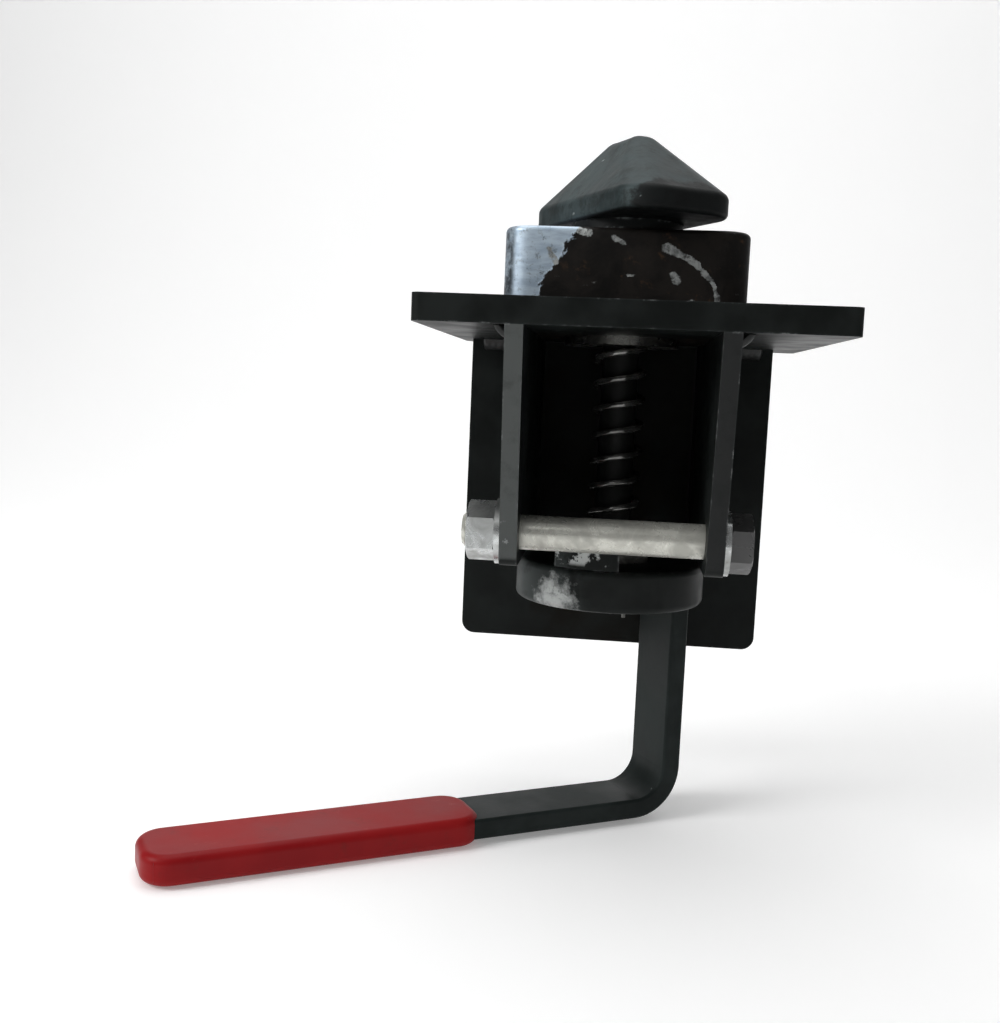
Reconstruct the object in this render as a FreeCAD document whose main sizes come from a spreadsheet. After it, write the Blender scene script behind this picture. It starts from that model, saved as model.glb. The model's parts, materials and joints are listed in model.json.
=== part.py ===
import FreeCAD, Part
import math
import os
import re

import Sketcher

# Container twistlock with a fixed shear block, a quarter-turn spindle and a cranked handle.
# Frame: +Z up towards the lock head, +Y towards the back plate, millimetres.
# Origin: spindle axis at the flange's top face, where the container's corner casting sits.
# The turning pieces are drawn unlocked, head along X and handle along -Y, and are
# placed by one turn about Z.

SIZES = [
    # alias, value, meaning
    ("flange_width", 188, "flange along X"),
    ("flange_depth", 190, "flange along Y"),
    ("flange_thickness", 12, "flange plate"),
    ("flange_side_shift", 4, "flange centre off the spindle along X"),
    ("flange_rear_shift", 2, "flange centre off the spindle along Y"),
    ("flange_corner", 4, "flange corner radius"),
    ("block_length", 116, "shear block along X"),
    ("block_width", 60, "shear block along Y"),
    ("block_height", 38, "shear block above the flange"),
    ("block_corner", 13, "upright corner radius of the shear block"),
    ("block_edge", 2.5, "top edge radius of the shear block"),
    ("cheek_gap", 83, "clear width between the cheeks"),
    ("cheek_thickness", 8, "cheek plate"),
    ("cheek_height", 106, "cheek below the flange"),
    ("cheek_taper", 18, "how far the cheek's front edge leans back"),
    ("cheek_corner", 7, "cheek corner radius"),
    ("plate_front", 60, "back plate's front face behind the spindle axis"),
    ("plate_thickness", 10, "back plate"),
    ("plate_width", 164, "back plate along X"),
    ("plate_height", 166, "back plate below the flange"),
    ("plate_corner", 7, "lower corner radius of the back plate"),
    ("gusset_thickness", 8, "rear gusset plate"),
    ("gusset_height", 16, "rear gusset below the flange"),
    ("gusset_inset", 1.5, "gusset short of the flange's rear edge and of the plate's end"),
    ("weld_leg", 6, "leg of a fillet weld"),
    ("bolt_size", 16, "cross bolt thread diameter"),
    ("bolt_forward", 58, "cross bolt in front of the spindle axis"),
    ("bolt_edge", 14, "cross bolt above the cheeks' lower ends"),
    ("bolt_hole_clearance", 0.75, "cheek hole over the bolt, on the radius"),
    ("bolt_flats", 24, "bolt head and nut across flats"),
    ("bolt_head_height", 10, "bolt head"),
    ("nut_height", 13, "cross bolt nut"),
    ("bolt_tail", 2.5, "thread standing out of the nut"),
    ("bolt_point", 1.3, "end chamfer of the cross bolt"),
    ("washer_thickness", 3, "cross bolt washer"),
    ("washer_diameter", 30, "cross bolt washer"),
    ("thread_clearance", 0.1, "nut or washer bore over its thread, on the radius"),
    ("hex_chamfer", 1.2, "corner chamfer of a hexagon"),
    ("hex_slope", 30, "slope of that chamfer, in degrees"),
    ("head_length", 108, "lock head, long way"),
    ("head_width", 58, "lock head, short way"),
    ("head_corner", 17, "plan corner radius of the lock head"),
    ("head_rim", 10, "upright rim of the lock head"),
    ("head_edge", 2.5, "lower edge radius of the lock head"),
    ("head_shoulder", 4, "radius between the rim and the sloping faces"),
    ("head_slope", 31, "height of the lock head's sloping faces"),
    ("nose_length", 25, "where the sloping faces end at the top, long way"),
    ("nose_width", 11.4, "where the sloping faces end at the top, short way"),
    ("nose_corner", 5.5, "plan corner radius at the top of the sloping faces"),
    ("nose_radius", 9, "rounding of the lock head's top"),
    ("neck_diameter", 54, "neck collar under the lock head"),
    ("neck_height", 5, "gap between the lock head and the shear block"),
    ("journal_diameter", 44, "spindle in the bore"),
    ("running_clearance", 0.08, "spindle in the bore, on the radius"),
    ("shank_diameter", 18, "spindle inside the spring"),
    ("tail_diameter", 16, "spindle's threaded tail"),
    ("tail_flats", 13, "across the two flats that drive the hub"),
    ("tail_end", 3, "tail below the castle nut"),
    ("tail_chamfer", 1.5, "end chamfer of the tail"),
    ("seat_thickness", 4, "spring seat"),
    ("upper_seat_reach", 6, "upper spring seat beyond the spindle's bore, on the radius"),
    ("lower_seat_diameter", 38, "lower spring seat"),
    ("seat_recess", 2, "depth of the spring seat's recess"),
    ("seat_clearance", 0.4, "spring seat round the shank and the spring, on the radius"),
    ("spring_diameter", 23, "spring, centre of wire to centre of wire"),
    ("spring_wire", 3.5, "spring wire"),
    ("spring_turns", 8, "turns of the spring"),
    ("hub_diameter", 94, "hub"),
    ("hub_thickness", 20, "hub"),
    ("hub_gap", 4, "hub below the cheeks' lower ends"),
    ("hub_edge", 3, "hub rim radius"),
    ("hub_recess_diameter", 36, "recess for the castle nut"),
    ("hub_recess_depth", 12, "recess for the castle nut"),
    ("drive_clearance", 0.1, "hub bore over the flats, each side"),
    ("lug_outer_inset", 1.5, "stop lug inside the hub's rim"),
    ("lug_depth", 10, "stop lug along the radius"),
    ("lug_height", 14, "stop lug above the hub"),
    ("lug_edge", 2, "upper edge radius of the stop lug"),
    ("turn_range", 90, "quarter turn of the spindle, in degrees"),
    ("stop_slack", 1, "turn left over between the stops, in degrees"),
    ("rest_turn", -60, "turn of the spindle at rest from the unlocked pose, in degrees"),
    ("hub_washer_thickness", 2.5, "washer above the castle nut"),
    ("hub_washer_diameter", 32, "washer above the castle nut"),
    ("castle_body", 8, "plain part of the castle nut"),
    ("castle_crown", 6, "slotted part of the castle nut"),
    ("castle_slot", 4.4, "slot of the castle nut"),
    ("pin_diameter", 3.8, "split pin"),
    ("pin_hole_clearance", 0.15, "pin hole in the tail, on the radius"),
    ("pin_reach", 3, "split pin beyond the castle nut"),
    ("pin_tail", 6, "each bent end of the split pin"),
    ("pin_eye", 3, "split pin's eye, to the centre of its wire"),
    ("bar_width", 32, "handle bar"),
    ("bar_thickness", 10, "handle bar"),
    ("bar_edge", 1.5, "handle bar's long edges"),
    ("stem_offset", 34, "handle stem behind the spindle axis"),
    ("arm_drop", 108, "arm's centre line below the hub"),
    ("arm_reach", 224, "end of the bar from the spindle axis"),
    ("bend_radius", 20, "bend of the bar, at its centre line"),
    ("grip_width", 38, "grip"),
    ("grip_thickness", 14, "grip"),
    ("grip_length", 158, "grip"),
    ("grip_end_wall", 5, "closed end of the grip"),
    ("grip_corner", 13, "plan corner radius of the grip"),
    ("grip_edge", 4, "long edges of the grip"),
    ("grip_clearance", 0.15, "grip over the bar, each side"),
    ("handle_weld_leg", 5, "weld between the stem and the hub"),
]

DERIVED = [
    # alias, formula
    ("flange_left", "=flange_side_shift - flange_width / 2"),
    ("flange_right", "=flange_side_shift + flange_width / 2"),
    ("flange_front", "=flange_rear_shift - flange_depth / 2"),
    ("flange_rear", "=flange_rear_shift + flange_depth / 2"),
    ("cheek_outer", "=cheek_gap / 2 + cheek_thickness"),
    ("cheek_bottom", "=-flange_thickness - cheek_height"),
    ("plate_rear", "=plate_front + plate_thickness"),
    ("plate_bottom", "=-flange_thickness - plate_height"),
    ("bolt_level", "=cheek_bottom + bolt_edge"),
    ("bore_radius", "=journal_diameter / 2 + running_clearance"),
    ("head_bottom", "=block_height + neck_height"),
    ("rim_top", "=head_bottom + head_rim"),
    ("nose_top", "=rim_top + head_slope"),
    ("hub_top", "=cheek_bottom - hub_gap"),
    ("hub_bottom", "=hub_top - hub_thickness"),
    ("recess_top", "=hub_bottom + hub_recess_depth"),
    ("nut_top", "=recess_top - hub_washer_thickness"),
    ("nut_bottom", "=nut_top - castle_body - castle_crown"),
    ("tail_bottom", "=nut_bottom - tail_end"),
    ("pin_level", "=nut_bottom + castle_crown / 2"),
    ("arm_level", "=hub_bottom - arm_drop"),
    ("seat_bore", "=shank_diameter / 2 + seat_clearance"),
    ("seat_pocket", "=spring_diameter / 2 + spring_wire / 2 + seat_clearance"),
    ("spring_top", "=-flange_thickness - seat_thickness + seat_recess"),
    ("spring_bottom", "=hub_top + seat_thickness - seat_recess"),
    ("lug_outer", "=hub_diameter / 2 - lug_outer_inset"),
    ("lug_inner", "=lug_outer - lug_depth"),
    ("lug_reach", "=acos(cheek_gap / 2 / lug_outer)"),
    ("lug_span", "=180 - 2 * lug_reach / 1deg - turn_range - stop_slack"),
    ("lug_middle", "=-90 + turn_range / 2"),
    ("grip_start", "=arm_reach + grip_end_wall - grip_length"),
]

doc = FreeCAD.newDocument("container_twistlock")
sheet = doc.addObject("Spreadsheet::Sheet", "sizes")
for row, (alias, value, meaning) in enumerate(SIZES + [(a, f, "") for a, f in DERIVED], 1):
    sheet.set("A%d" % row, alias)
    sheet.set("B%d" % row, str(value))
    sheet.set("C%d" % row, meaning)
    sheet.setAlias("B%d" % row, alias)
doc.recompute()

ALIASES = {entry[0] for entry in SIZES + DERIVED}
X_AXIS = FreeCAD.Vector(1, 0, 0)
Y_AXIS = FreeCAD.Vector(0, 1, 0)
Z_AXIS = FreeCAD.Vector(0, 0, 1)
WORD = re.compile(r"[a-z_]+")
NEAR = 1e-4
nodes = []


def on_sheet(formula):
    """The formula with each alias written as the sheet's cell."""
    return WORD.sub(lambda m: "sizes." + m.group() if m.group() in ALIASES else m.group(), formula)


def value(formula):
    """The number that a formula over the sheet's aliases gives now."""
    result = sheet.evalExpression(formula)
    return float(getattr(result, "Value", result))


def bind(target, **formulas):
    """Ties properties to the sheet; a double underscore stands for a dot."""
    for name, formula in formulas.items():
        target.setExpression(name.replace("__", "."), on_sheet(formula))
    return target


def place(target, x="0", y="0", z="0"):
    return bind(target, Placement__Base__x=x, Placement__Base__y=y, Placement__Base__z=z)


def turn_with_spindle(target):
    """Places a piece drawn in the unlocked pose at the spindle's rest angle."""
    target.Placement = FreeCAD.Placement(FreeCAD.Vector(), FreeCAD.Rotation(Z_AXIS, 1))
    return bind(target, Placement__Rotation__Angle="rest_turn")


def keep(target, label):
    """Marks an object as a sub-part that is written to its own file."""
    target.Label = label
    nodes.append(target)
    return target


def new_body(name):
    return doc.addObject("PartDesign::Body", name)


def new_sketch(body, name, role, level="0", x="0", y="0"):
    """A sketch on one of the body's own planes, moved out to a level along its normal."""
    sketch = body.newObject("Sketcher::SketchObject", name)
    plane = [f for f in body.Origin.OriginFeatures if f.Role == role][0]
    sketch.AttachmentSupport = [(plane, "")]
    sketch.MapMode = "FlatFace"
    return bind(sketch, AttachmentOffset__Base__x=x, AttachmentOffset__Base__y=y,
                AttachmentOffset__Base__z=level)


def fix_point(sketch, edge, end, x, y):
    """Holds one end of an edge at formulas for its place from the sketch's origin."""
    for kind, axis, formula in (("DistanceX", -2, x), ("DistanceY", -1, y)):
        if formula == "0":
            sketch.addConstraint(Sketcher.Constraint("PointOnObject", edge, end, axis))
            continue
        index = sketch.addConstraint(Sketcher.Constraint(kind, -1, 1, edge, end, value(formula)))
        sketch.setExpression("Constraints[%d]" % index, on_sheet(formula))


def polygon(sketch, points):
    """A closed outline of straight edges through points given as formulas."""
    places = [FreeCAD.Vector(value(x), value(y), 0) for x, y in points]
    count = len(places)
    for i in range(count):
        sketch.addGeometry(Part.LineSegment(places[i], places[(i + 1) % count]), False)
    for i in range(count):
        sketch.addConstraint(Sketcher.Constraint("Coincident", i, 2, (i + 1) % count, 1))
    for i, (x, y) in enumerate(points):
        fix_point(sketch, i, 1, x, y)
    return sketch


def circle(sketch, radius, x="0", y="0"):
    centre = FreeCAD.Vector(value(x), value(y), 0)
    edge = sketch.addGeometry(Part.Circle(centre, Z_AXIS, value(radius)), False)
    fix_point(sketch, edge, 3, x, y)
    index = sketch.addConstraint(Sketcher.Constraint("Radius", edge, value(radius)))
    sketch.setExpression("Constraints[%d]" % index, on_sheet(radius))
    return sketch


def rounded_rectangle(sketch, length, width, radius):
    """A rectangle about the sketch's origin with four equal tangent corner arcs."""
    half_x, half_y, corner = value(length) / 2, value(width) / 2, value(radius)
    inner_x, inner_y = half_x - corner, half_y - corner
    ends = [(-inner_x, -half_y, inner_x, -half_y), (half_x, -inner_y, half_x, inner_y),
            (inner_x, half_y, -inner_x, half_y), (-half_x, inner_y, -half_x, -inner_y)]
    for x1, y1, x2, y2 in ends:
        line = Part.LineSegment(FreeCAD.Vector(x1, y1, 0), FreeCAD.Vector(x2, y2, 0))
        sketch.addGeometry(line, False)
    signs = [(1, -1), (1, 1), (-1, 1), (-1, -1)]
    for i, (sx, sy) in enumerate(signs):
        rim = Part.Circle(FreeCAD.Vector(sx * inner_x, sy * inner_y, 0), Z_AXIS, corner)
        start = math.radians(90 * (i - 1))
        sketch.addGeometry(Part.ArcOfCircle(rim, start, start + math.pi / 2), False)
    for i in range(4):
        sketch.addConstraint(Sketcher.Constraint("Tangent", i, 2, 4 + i, 1))
        sketch.addConstraint(Sketcher.Constraint("Tangent", 4 + i, 2, (i + 1) % 4, 1))
    for arc in (5, 6, 7):
        sketch.addConstraint(Sketcher.Constraint("Equal", 4, arc))
    for i, kind in enumerate(("Horizontal", "Vertical", "Horizontal", "Vertical")):
        sketch.addConstraint(Sketcher.Constraint(kind, i))
    limits = [("DistanceY", 0, "-(%s) / 2" % width), ("DistanceX", 1, "(%s) / 2" % length),
              ("DistanceY", 2, "(%s) / 2" % width), ("DistanceX", 3, "-(%s) / 2" % length)]
    for kind, edge, formula in limits:
        index = sketch.addConstraint(Sketcher.Constraint(kind, -1, 1, edge, 1, value(formula)))
        sketch.setExpression("Constraints[%d]" % index, on_sheet(formula))
    index = sketch.addConstraint(Sketcher.Constraint("Radius", 4, corner))
    sketch.setExpression("Constraints[%d]" % index, on_sheet(radius))
    return sketch


def pad(body, name, sketch, length, down=False):
    feature = body.newObject("PartDesign::Pad", name)
    feature.Profile = sketch
    feature.Reversed = down
    return bind(feature, Length=length)


def pocket(body, name, sketch, length=None, down=False, both=False):
    """A pocket of a given length, or through everything."""
    feature = body.newObject("PartDesign::Pocket", name)
    feature.Profile = sketch
    feature.Reversed = down
    feature.Midplane = both
    if length is None:
        feature.Type = "ThroughAll"
        return feature
    return bind(feature, Length=length)


def revolve(body, name, sketch):
    feature = body.newObject("PartDesign::Revolution", name)
    feature.Profile = sketch
    feature.ReferenceAxis = (sketch, ["V_Axis"])
    feature.Angle = 360
    return feature


def edges_of(shape, test):
    return ["Edge%d" % i for i, edge in enumerate(shape.Edges, 1) if test(edge)]


def is_upright(edge):
    """A straight edge along Z."""
    box = edge.BoundBox
    return box.XLength < NEAR and box.YLength < NEAR


def is_level(edge, level):
    """An edge that lies in the horizontal plane at a level."""
    return abs(edge.BoundBox.ZMin - level) < NEAR and abs(edge.BoundBox.ZMax - level) < NEAR


def fillet(body, name, radius, test):
    """Rounds the edges of the body's tip that pass the test."""
    doc.recompute()
    base = body.Tip
    feature = body.newObject("PartDesign::Fillet", name)
    feature.Base = (base, edges_of(base.Shape, test))
    return bind(feature, Radius=radius)


def primitive(kind, name, **formulas):
    return bind(doc.addObject("Part::" + kind, name), **formulas)


def cylinder(name, radius, height, level="0", **more):
    return place(primitive("Cylinder", name, Radius=radius, Height=height, **more), z=level)


def cut(name, base, tool):
    feature = doc.addObject("Part::Cut", name)
    feature.Base = base
    feature.Tool = tool
    return feature


def common(name, first, second):
    feature = doc.addObject("Part::MultiCommon", name)
    feature.Shapes = [first, second]
    return feature


def fuse(name, shapes):
    feature = doc.addObject("Part::MultiFuse", name)
    feature.Shapes = shapes
    return feature


def group(name, shapes):
    """Several separate solids in one sub-part."""
    feature = doc.addObject("Part::Compound", name)
    feature.Links = shapes
    return feature


def ring(name, outer, inner, height, level):
    """A flat ring that stands on a level."""
    disc = cylinder(name + "_disc", outer, height, level)
    hole = cylinder(name + "_hole", inner, height, level)
    return cut(name, disc, hole)


def hexagon(name, height):
    """A hexagonal blank on the XY plane with both faces' corners chamfered."""
    flats = "bolt_flats / 2 / cos(30)"
    blank = primitive("Prism", name + "_prism", Circumradius=flats, Height=height)
    blank.Polygon = 6
    base = "bolt_flats / 2 / cos(30) - hex_chamfer"
    wide = base + " + (%s) / tan(hex_slope * 1deg)" % height
    lower = primitive("Cone", name + "_lower", Radius1=base, Radius2=wide, Height=height)
    upper = primitive("Cone", name + "_upper", Radius1=wide, Radius2=base, Height=height)
    return common(name, blank, common(name + "_cones", lower, upper))


def prism_bead(name, leg_one, leg_two, length, along_one, along_two, x, y, z):
    """A three-sided bar in a corner: its legs run along two directions, its length along
    their cross product, from a corner point."""
    bead = primitive("Wedge", name, Xmax=leg_one, Ymax=leg_two, Zmax=length, Z2max=length)
    bead.Xmin = bead.Ymin = bead.Zmin = 0
    bead.X2min = bead.X2max = bead.Z2min = 0
    turn = FreeCAD.Rotation(along_one, along_two, along_one.cross(along_two), "XYZ")
    bead.Placement = FreeCAD.Placement(FreeCAD.Vector(), turn)
    return place(bead, x, y, z)


def make_flange():
    """Flange plate, slotted for the shear block; the casting rests on its top face."""
    body = new_body("flange_plate")
    outline = polygon(new_sketch(body, "flange_outline", "XY_Plane"),
                      [("flange_left", "flange_front"), ("flange_right", "flange_front"),
                       ("flange_right", "flange_rear"), ("flange_left", "flange_rear")])
    pad(body, "flange_pad", outline, "flange_thickness", down=True)
    fillet(body, "flange_corners", "flange_corner", is_upright)
    slot = rounded_rectangle(new_sketch(body, "flange_slot_outline", "XY_Plane"),
                             "block_length", "block_width", "block_corner")
    pocket(body, "flange_slot", slot, "flange_thickness")
    keep(body, "flange_plate")


def make_shear_block():
    """Block set through the flange; it fills the casting's slot and guides the spindle."""
    body = new_body("shear_block")
    outline = rounded_rectangle(
        new_sketch(body, "block_outline", "XY_Plane", "-flange_thickness"),
        "block_length", "block_width", "block_corner")
    pad(body, "block_pad", outline, "block_height + flange_thickness")
    top = value("block_height")
    fillet(body, "block_top_edge", "block_edge", lambda edge: is_level(edge, top))
    bore = circle(new_sketch(body, "block_bore_outline", "XY_Plane", "-flange_thickness"),
                  "bore_radius")
    pocket(body, "block_bore", bore, "block_height + flange_thickness", down=True)
    keep(body, "shear_block")


def make_cheek(label, x):
    """Side plate of the housing with the hole for the cross bolt."""
    body = new_body(label)
    outline = polygon(new_sketch(body, label + "_outline", "YZ_Plane"),
                      [("flange_front", "-flange_thickness"), ("plate_front", "-flange_thickness"),
                       ("plate_front", "cheek_bottom"),
                       ("flange_front + cheek_taper", "cheek_bottom")])
    pad(body, label + "_pad", outline, "cheek_thickness")
    corner_y, corner_z = value("flange_front + cheek_taper"), value("cheek_bottom")

    def is_front_corner(edge):
        box = edge.BoundBox
        return (abs(box.YMin - corner_y) < NEAR and abs(box.YMax - corner_y) < NEAR
                and abs(box.ZMin - corner_z) < NEAR and abs(box.ZMax - corner_z) < NEAR)

    fillet(body, label + "_corner", "cheek_corner", is_front_corner)
    hole = circle(new_sketch(body, label + "_hole_outline", "YZ_Plane"),
                  "bolt_size / 2 + bolt_hole_clearance", "-bolt_forward", "bolt_level")
    pocket(body, label + "_hole", hole, "cheek_thickness", down=True)
    place(keep(body, label), x=x)


def make_back_plate():
    """Plate behind the cheeks, which is fixed to the vehicle or the deck."""
    body = new_body("back_plate")
    outline = polygon(new_sketch(body, "plate_outline", "XZ_Plane", level="-plate_rear"),
                      [("-plate_width / 2", "plate_bottom"), ("plate_width / 2", "plate_bottom"),
                       ("plate_width / 2", "-flange_thickness"),
                       ("-plate_width / 2", "-flange_thickness")])
    pad(body, "plate_pad", outline, "plate_thickness")
    bottom = value("plate_bottom")
    fillet(body, "plate_corners", "plate_corner",
           lambda edge: is_level(edge, bottom) and edge.BoundBox.XLength < NEAR)
    keep(body, "back_plate")


def make_gussets():
    """Two small triangular plates behind the back plate, under the flange's overhang."""
    reach = "flange_rear - plate_rear - gusset_inset"
    left = prism_bead("left_gusset", reach, "gusset_height", "gusset_thickness",
                      Y_AXIS, -Z_AXIS, "-plate_width / 2 + gusset_inset + gusset_thickness",
                      "plate_rear", "-flange_thickness")
    right = prism_bead("right_gusset", reach, "gusset_height", "gusset_thickness",
                       Y_AXIS, -Z_AXIS, "plate_width / 2 - gusset_inset",
                       "plate_rear", "-flange_thickness")
    keep(group("rear_gussets", [left, right]), "rear_gussets")


def make_housing_welds():
    """Fillet welds along the outside of the housing's corners."""
    run = "plate_front - flange_front - 2 * weld_leg"
    right = prism_bead("right_cheek_bead", "weld_leg", "weld_leg", run, X_AXIS, -Z_AXIS,
                       "cheek_outer", "flange_front + weld_leg", "-flange_thickness")
    left = prism_bead("left_cheek_bead", "weld_leg", "weld_leg", run, -Z_AXIS, -X_AXIS,
                      "-cheek_outer", "flange_front + weld_leg", "-flange_thickness")
    keep(group("cheek_flange_welds", [left, right]), "cheek_flange_welds")

    drop = "cheek_height - 2 * weld_leg"
    right = prism_bead("right_corner_bead", "weld_leg", "weld_leg", drop, -Y_AXIS, X_AXIS,
                       "cheek_outer", "plate_front", "cheek_bottom + weld_leg")
    left = prism_bead("left_corner_bead", "weld_leg", "weld_leg", drop, -X_AXIS, -Y_AXIS,
                      "-cheek_outer", "plate_front", "cheek_bottom + weld_leg")
    keep(group("cheek_plate_welds", [left, right]), "cheek_plate_welds")

    wing = "plate_width / 2 - cheek_outer - 2 * weld_leg"
    right = prism_bead("right_wing_bead", "weld_leg", "weld_leg", wing, -Z_AXIS, -Y_AXIS,
                       "plate_width / 2 - weld_leg", "plate_front", "-flange_thickness")
    left = prism_bead("left_wing_bead", "weld_leg", "weld_leg", wing, -Z_AXIS, -Y_AXIS,
                      "-cheek_outer - weld_leg", "plate_front", "-flange_thickness")
    keep(group("plate_flange_welds", [left, right]), "plate_flange_welds")


def make_cross_bolt():
    """Hexagon bolt through both cheeks, with its washers and nut."""
    along_x = FreeCAD.Rotation(Y_AXIS, 90)
    y, z = "-bolt_forward", "bolt_level"

    def lay(target, x):
        target.Placement = FreeCAD.Placement(FreeCAD.Vector(), along_x)
        return place(target, x, y, z)

    start = "-cheek_outer - washer_thickness - nut_height - bolt_tail"
    grip = "2 * (cheek_outer + washer_thickness) + nut_height + bolt_tail"
    shank = cylinder("bolt_shank", "bolt_size / 2", grip)
    doc.recompute()
    tip = doc.addObject("Part::Chamfer", "bolt_shank_tip")
    tip.Base = shank
    size = value("bolt_point")
    tip.Edges = [(i, size, size) for i, edge in enumerate(shank.Shape.Edges, 1)
                 if is_level(edge, 0)]
    head = place(hexagon("bolt_head", "bolt_head_height"), z=grip)
    lay(keep(fuse("cross_bolt", [tip, head]), "cross_bolt"), start)

    hole = cylinder("nut_hole", "bolt_size / 2 + thread_clearance", "nut_height")
    nut = cut("cross_bolt_nut", hexagon("nut_blank", "nut_height"), hole)
    lay(keep(nut, "cross_bolt_nut"), "-cheek_outer - washer_thickness - nut_height")

    washers = []
    for side, x in (("left", "-cheek_outer - washer_thickness"), ("right", "cheek_outer")):
        washer = ring(side + "_washer", "washer_diameter / 2",
                      "bolt_size / 2 + thread_clearance", "washer_thickness", "0")
        washers.append(lay(washer, x))
    keep(group("cross_bolt_washers", washers), "cross_bolt_washers")


def make_spring_seat(label, radius, level, recess_level):
    """Flat seat with a shallow recess that keeps the spring in the middle."""
    plate = ring(label + "_plate", radius, "seat_bore", "seat_thickness", level)
    recess = cylinder(label + "_recess", "seat_pocket", "seat_recess", recess_level)
    keep(cut(label, plate, recess), label)


def make_spring():
    """Open coil spring between the two seats, round the spindle's shank."""
    free = "spring_top - spring_bottom - spring_wire"
    coil = primitive("Helix", "spring_helix", Radius="spring_diameter / 2", Height=free,
                     Pitch="(%s) / spring_turns" % free)
    place(coil, z="spring_bottom + spring_wire / 2")
    wire = primitive("Circle", "spring_section", Radius="spring_wire / 2")
    wire.Placement = FreeCAD.Placement(FreeCAD.Vector(), FreeCAD.Rotation(X_AXIS, 90))
    place(wire, x="spring_diameter / 2", z="spring_bottom + spring_wire / 2")
    doc.recompute()
    sweep = doc.addObject("Part::Sweep", "return_spring")
    sweep.Sections = [wire]
    sweep.Spine = (coil, ["Edge1"])
    sweep.Solid = True
    sweep.Frenet = True
    keep(sweep, "return_spring")


def make_spindle():
    """One forging: lock head, neck collar, journal, shank and threaded tail."""
    body = new_body("lock_spindle")
    shaft = polygon(new_sketch(body, "spindle_profile", "XZ_Plane"),
                    [("0", "head_bottom + head_rim / 2"),
                     ("neck_diameter / 2", "head_bottom + head_rim / 2"),
                     ("neck_diameter / 2", "block_height"), ("journal_diameter / 2", "block_height"),
                     ("journal_diameter / 2", "-flange_thickness"),
                     ("shank_diameter / 2", "-flange_thickness"), ("shank_diameter / 2", "hub_top"),
                     ("tail_diameter / 2", "hub_top"),
                     ("tail_diameter / 2", "tail_bottom + tail_chamfer"),
                     ("tail_diameter / 2 - tail_chamfer", "tail_bottom"), ("0", "tail_bottom")])
    revolve(body, "spindle_shaft", shaft)
    rim = rounded_rectangle(new_sketch(body, "head_rim_outline", "XY_Plane", "head_bottom"),
                            "head_length", "head_width", "head_corner")
    pad(body, "head_rim_pad", rim, "head_rim")
    bottom, reach = value("head_bottom"), value("neck_diameter") / 2
    fillet(body, "head_lower_edge", "head_edge",
           lambda edge: is_level(edge, bottom) and edge.BoundBox.DiagonalLength / 2 > 0
           and max(abs(edge.BoundBox.XMax), abs(edge.BoundBox.XMin),
                   abs(edge.BoundBox.YMax), abs(edge.BoundBox.YMin)) > reach + NEAR)
    foot = rounded_rectangle(new_sketch(body, "head_slope_foot", "XY_Plane", "rim_top"),
                             "head_length", "head_width", "head_corner")
    top = rounded_rectangle(
        new_sketch(body, "head_slope_top", "XY_Plane", "nose_top"),
        "nose_length", "nose_width", "nose_corner")
    loft = body.newObject("PartDesign::AdditiveLoft", "head_slopes")
    loft.Profile = foot
    loft.Sections = [top]
    loft.Ruled = True
    for label, radius, level in (("head_nose", "nose_radius", value("nose_top")),
                                 ("head_shoulders", "head_shoulder", value("rim_top"))):
        fillet(body, label, radius, lambda edge: is_level(edge, level))
    for side, sign in (("front", "-"), ("rear", "")):
        near, far = sign + "tail_flats / 2", sign + "tail_diameter"
        flat = polygon(new_sketch(body, side + "_flat_outline", "XY_Plane", "nut_top"),
                       [("-tail_diameter", near), ("tail_diameter", near),
                        ("tail_diameter", far), ("-tail_diameter", far)])
        pocket(body, side + "_flat", flat, "hub_top - nut_top", down=True)
    hole = circle(new_sketch(body, "pin_hole_outline", "YZ_Plane"),
                  "pin_diameter / 2 + pin_hole_clearance", "0", "pin_level")
    pocket(body, "pin_hole", hole, "2 * tail_diameter", both=True)
    turn_with_spindle(keep(body, "lock_spindle"))


def make_hub():
    """Round hub keyed on the spindle's flats, with the stop lug that swings between the cheeks."""
    disc = cylinder("hub_disc", "hub_diameter / 2", "hub_thickness", "hub_bottom")
    doc.recompute()
    rim = doc.addObject("Part::Fillet", "hub_rim")
    rim.Base = disc
    radius = value("hub_edge")
    rim.Edges = [(i, radius, radius) for i, edge in enumerate(disc.Shape.Edges, 1)
                 if is_level(edge, edge.BoundBox.ZMin)]

    sector = cylinder("lug_sector", "lug_outer", "lug_height", "hub_top", Angle="lug_span")
    turn = bind(sector, Placement__Rotation__Angle="lug_middle - lug_span / 2")
    core = cylinder("lug_core", "lug_inner", "lug_height", "hub_top")
    lug = cut("stop_lug", turn, core)
    doc.recompute()
    top = value("hub_top + lug_height")
    radius = value("lug_edge")
    rounded = doc.addObject("Part::Fillet", "stop_lug_rounded")
    rounded.Base = lug
    rounded.Edges = [(i, radius, radius) for i, edge in enumerate(lug.Shape.Edges, 1)
                     if is_level(edge, top)]

    bore = cylinder("hub_bore_round", "tail_diameter / 2 + drive_clearance",
                    "hub_thickness", "hub_bottom")
    flats = primitive("Box", "hub_bore_flats", Length="2 * tail_diameter",
                      Width="tail_flats + 2 * drive_clearance", Height="hub_thickness")
    place(flats, "-tail_diameter", "-tail_flats / 2 - drive_clearance", "hub_bottom")
    recess = cylinder("hub_recess", "hub_recess_diameter / 2", "hub_recess_depth", "hub_bottom")
    solid = fuse("hub_solid", [rim, rounded])
    opening = fuse("hub_opening", [common("hub_bore", bore, flats), recess])
    turn_with_spindle(keep(cut("turning_hub", solid, opening), "turning_hub"))


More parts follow.
